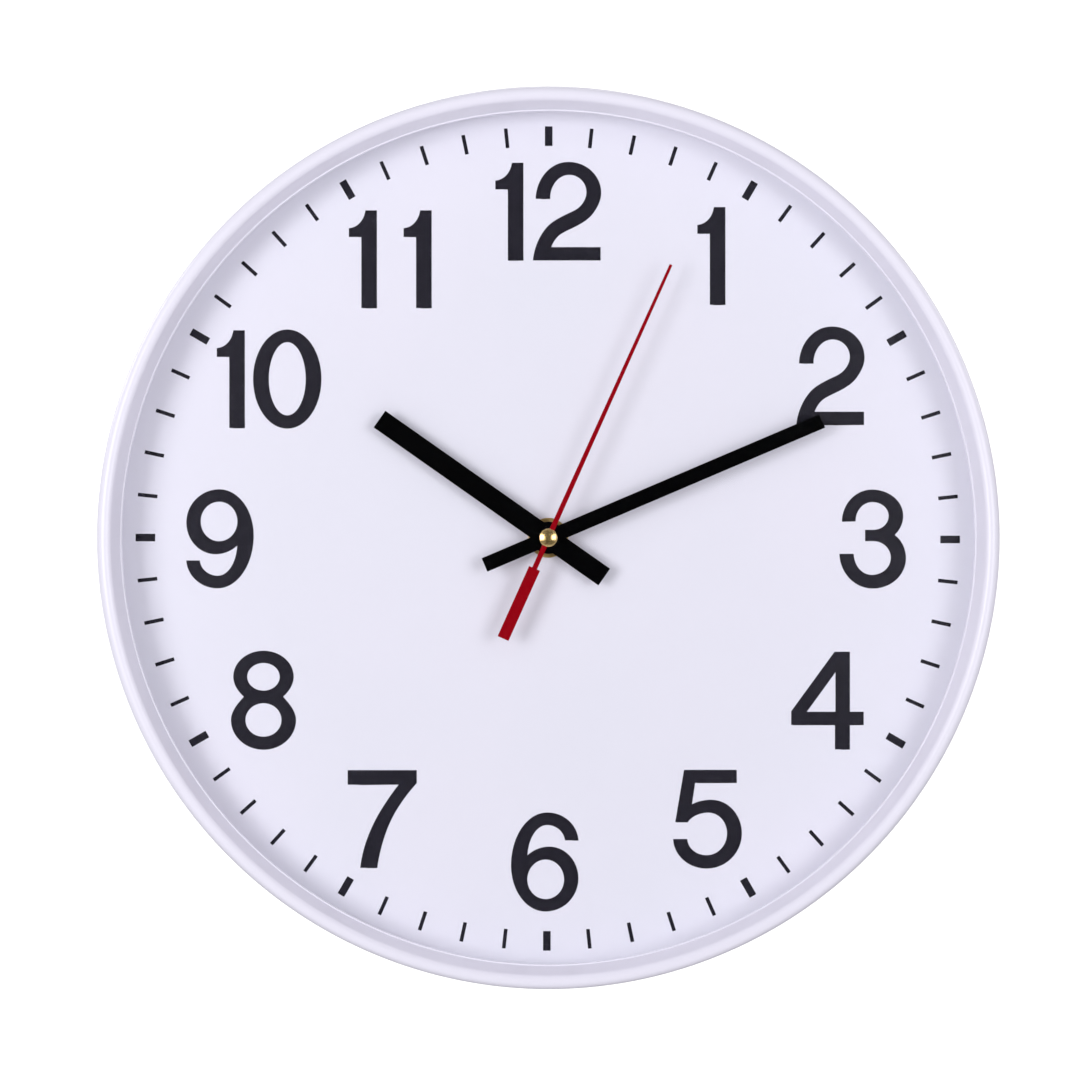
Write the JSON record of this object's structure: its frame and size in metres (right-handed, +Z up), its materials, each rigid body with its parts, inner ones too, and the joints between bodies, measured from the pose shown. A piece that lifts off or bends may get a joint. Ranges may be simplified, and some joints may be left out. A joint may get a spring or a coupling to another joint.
{
  "type": "wall clock",
  "caption": "Round quartz wall clock: deep moulded bezel, glass lens, printed dial, three hands on a geared battery movement, keyhole hanger behind.",
  "frame": {"origin": "middle of the clock's depth on the axis of its hands", "axes": "+Z up, +Y from the dial towards the wall, +X to the right as the clock is read"},
  "size_m": [0.3, 0.0452, 0.3],
  "materials": {
    "white_abs": "smooth moulded ABS",
    "pan_plastic": "moulded polystyrene",
    "clear_lens": "clear float glass",
    "dial_sheet": "coated card with a matt print",
    "zinc_steel": "zinc-plated steel",
    "movement_plastic": "black moulded plastic",
    "gear_plastic": "white acetal",
    "plate_plastic": "moulded plastic",
    "brass": "turned brass",
    "gold_brass": "polished brass",
    "rubber": "soft rubber",
    "black_hand": "matt black paint on aluminium sheet",
    "red_hand": "red paint on aluminium sheet",
    "board": "glass-epoxy circuit board",
    "chip_epoxy": "moulded epoxy",
    "copper": "enamelled copper wire",
    "lamination": "nickel-iron sheet",
    "magnet": "sintered magnet",
    "spring_steel": "nickel-plated spring steel",
    "battery_jacket": "printed film over a steel can"
  },
  "bodies": {
    "clock_body": {"bezel": "white_abs", "lens": "clear_lens", "dial": "dial_sheet", "back_pan": "pan_plastic", "pan_screws": "zinc_steel", "hanger_plate": "zinc_steel", "hanger_screws": "zinc_steel", "movement_front_case": "movement_plastic", "movement_back_cover": "movement_plastic", "middle_plate": "plate_plastic", "shaft_bushing": "brass", "rubber_washer": "rubber", "brass_washer": "brass", "hex_nut": "brass", "coil_bobbin": "gear_plastic", "coil_winding": "copper", "coil_core": "lamination", "stator": "lamination", "circuit_board": "board", "chip": "chip_epoxy", "crystal": "spring_steel", "contact_positive": "spring_steel", "contact_negative": "spring_steel"},
    "battery": {"battery": "battery_jacket", "battery_terminal": "spring_steel"},
    "rotor": {"rotor_magnet": "magnet", "rotor_pinion": "gear_plastic"},
    "intermediate": {"intermediate_wheel": "gear_plastic"},
    "second": {"seconds_wheel": "gear_plastic", "seconds_arbor": "zinc_steel", "second_hand": "red_hand", "second_hand_cap": "gold_brass"},
    "third": {"third_wheel": "gear_plastic"},
    "centre": {"centre_wheel": "gear_plastic"},
    "minute": {"clutch_washer": "spring_steel", "cannon_pinion": "brass", "minute_hand": "black_hand"},
    "motion_pin": {"minute_work_pin": "zinc_steel"},
    "minute_work": {"minute_work_wheel": "gear_plastic"},
    "setting_pin": {"setting_arbor": "zinc_steel"},
    "setting": {"setting_stem": "gear_plastic", "setting_knob": "gear_plastic"},
    "hour_seat": {"hour_wheel_washer": "spring_steel"},
    "hour": {"hour_wheel": "gear_plastic", "hour_hand": "black_hand", "hour_hand_collet": "brass"}
  },
  "joints": [
    {"name": "second_spin", "type": "hinge", "parent": "clock_body", "child": "second", "pos_m": [0, 0.0106, 0], "axis": [0, 1, 0], "continuous": true},
    {"name": "rotor_spin", "type": "hinge", "parent": "clock_body", "child": "rotor", "pos_m": [-0.0002, 0.0106, 0.01657], "axis": [0, 1, 0], "continuous": true},
    {"name": "intermediate_spin", "type": "hinge", "parent": "clock_body", "child": "intermediate", "pos_m": [0.00308, 0.0106, 0.00846], "axis": [0, 1, 0], "continuous": true},
    {"name": "third_spin", "type": "hinge", "parent": "clock_body", "child": "third", "pos_m": [0.0108, 0.0106, 0], "axis": [0, 1, 0], "continuous": true},
    {"name": "centre_spin", "type": "hinge", "parent": "clock_body", "child": "centre", "pos_m": [0, 0.0106, 0], "axis": [0, 1, 0], "continuous": true},
    {"name": "motion_pin_spin", "type": "hinge", "parent": "clock_body", "child": "motion_pin", "pos_m": [-0.00866, 0.0106, 0.005], "axis": [0, 1, 0], "continuous": true},
    {"name": "setting_pin_spin", "type": "hinge", "parent": "clock_body", "child": "setting_pin", "pos_m": [-0.01732, 0.0106, 0.01], "axis": [0, 1, 0], "continuous": true},
    {"name": "hour_seat_spin", "type": "hinge", "parent": "clock_body", "child": "hour_seat", "pos_m": [0, 0.0106, 0], "axis": [0, 1, 0], "continuous": true},
    {"name": "time_set", "type": "hinge", "parent": "centre", "child": "minute", "pos_m": [0, 0.0106, 0], "axis": [0, 1, 0], "continuous": true},
    {"name": "minute_work_set", "type": "hinge", "parent": "motion_pin", "child": "minute_work", "pos_m": [-0.00866, 0.0106, 0.005], "axis": [0, 1, 0], "continuous": true},
    {"name": "knob_set", "type": "hinge", "parent": "setting_pin", "child": "setting", "pos_m": [-0.01732, 0.0106, 0.01], "axis": [0, 1, 0], "continuous": true},
    {"name": "hour_set", "type": "hinge", "parent": "hour_seat", "child": "hour", "pos_m": [0, 0.0106, 0], "axis": [0, 1, 0], "continuous": true},
    {"name": "battery_slide", "type": "slide", "parent": "clock_body", "child": "battery", "axis": [0, 1, 0], "range_m": [0, 0.025]}
  ],
  "couplings": [
    {"joint": "rotor_spin", "follows": "second_spin", "ratio": 30},
    {"joint": "intermediate_spin", "follows": "second_spin", "ratio": -5},
    {"joint": "third_spin", "follows": "second_spin", "ratio": -0.13333},
    {"joint": "centre_spin", "follows": "second_spin", "ratio": 0.016667},
    {"joint": "motion_pin_spin", "follows": "second_spin", "ratio": -0.0055556},
    {"joint": "setting_pin_spin", "follows": "second_spin", "ratio": 0.016667},
    {"joint": "hour_seat_spin", "follows": "second_spin", "ratio": 0.0013889},
    {"joint": "minute_work_set", "follows": "time_set", "ratio": -0.33333},
    {"joint": "knob_set", "follows": "time_set", "ratio": 1},
    {"joint": "hour_set", "follows": "time_set", "ratio": 0.083333}
  ]
}
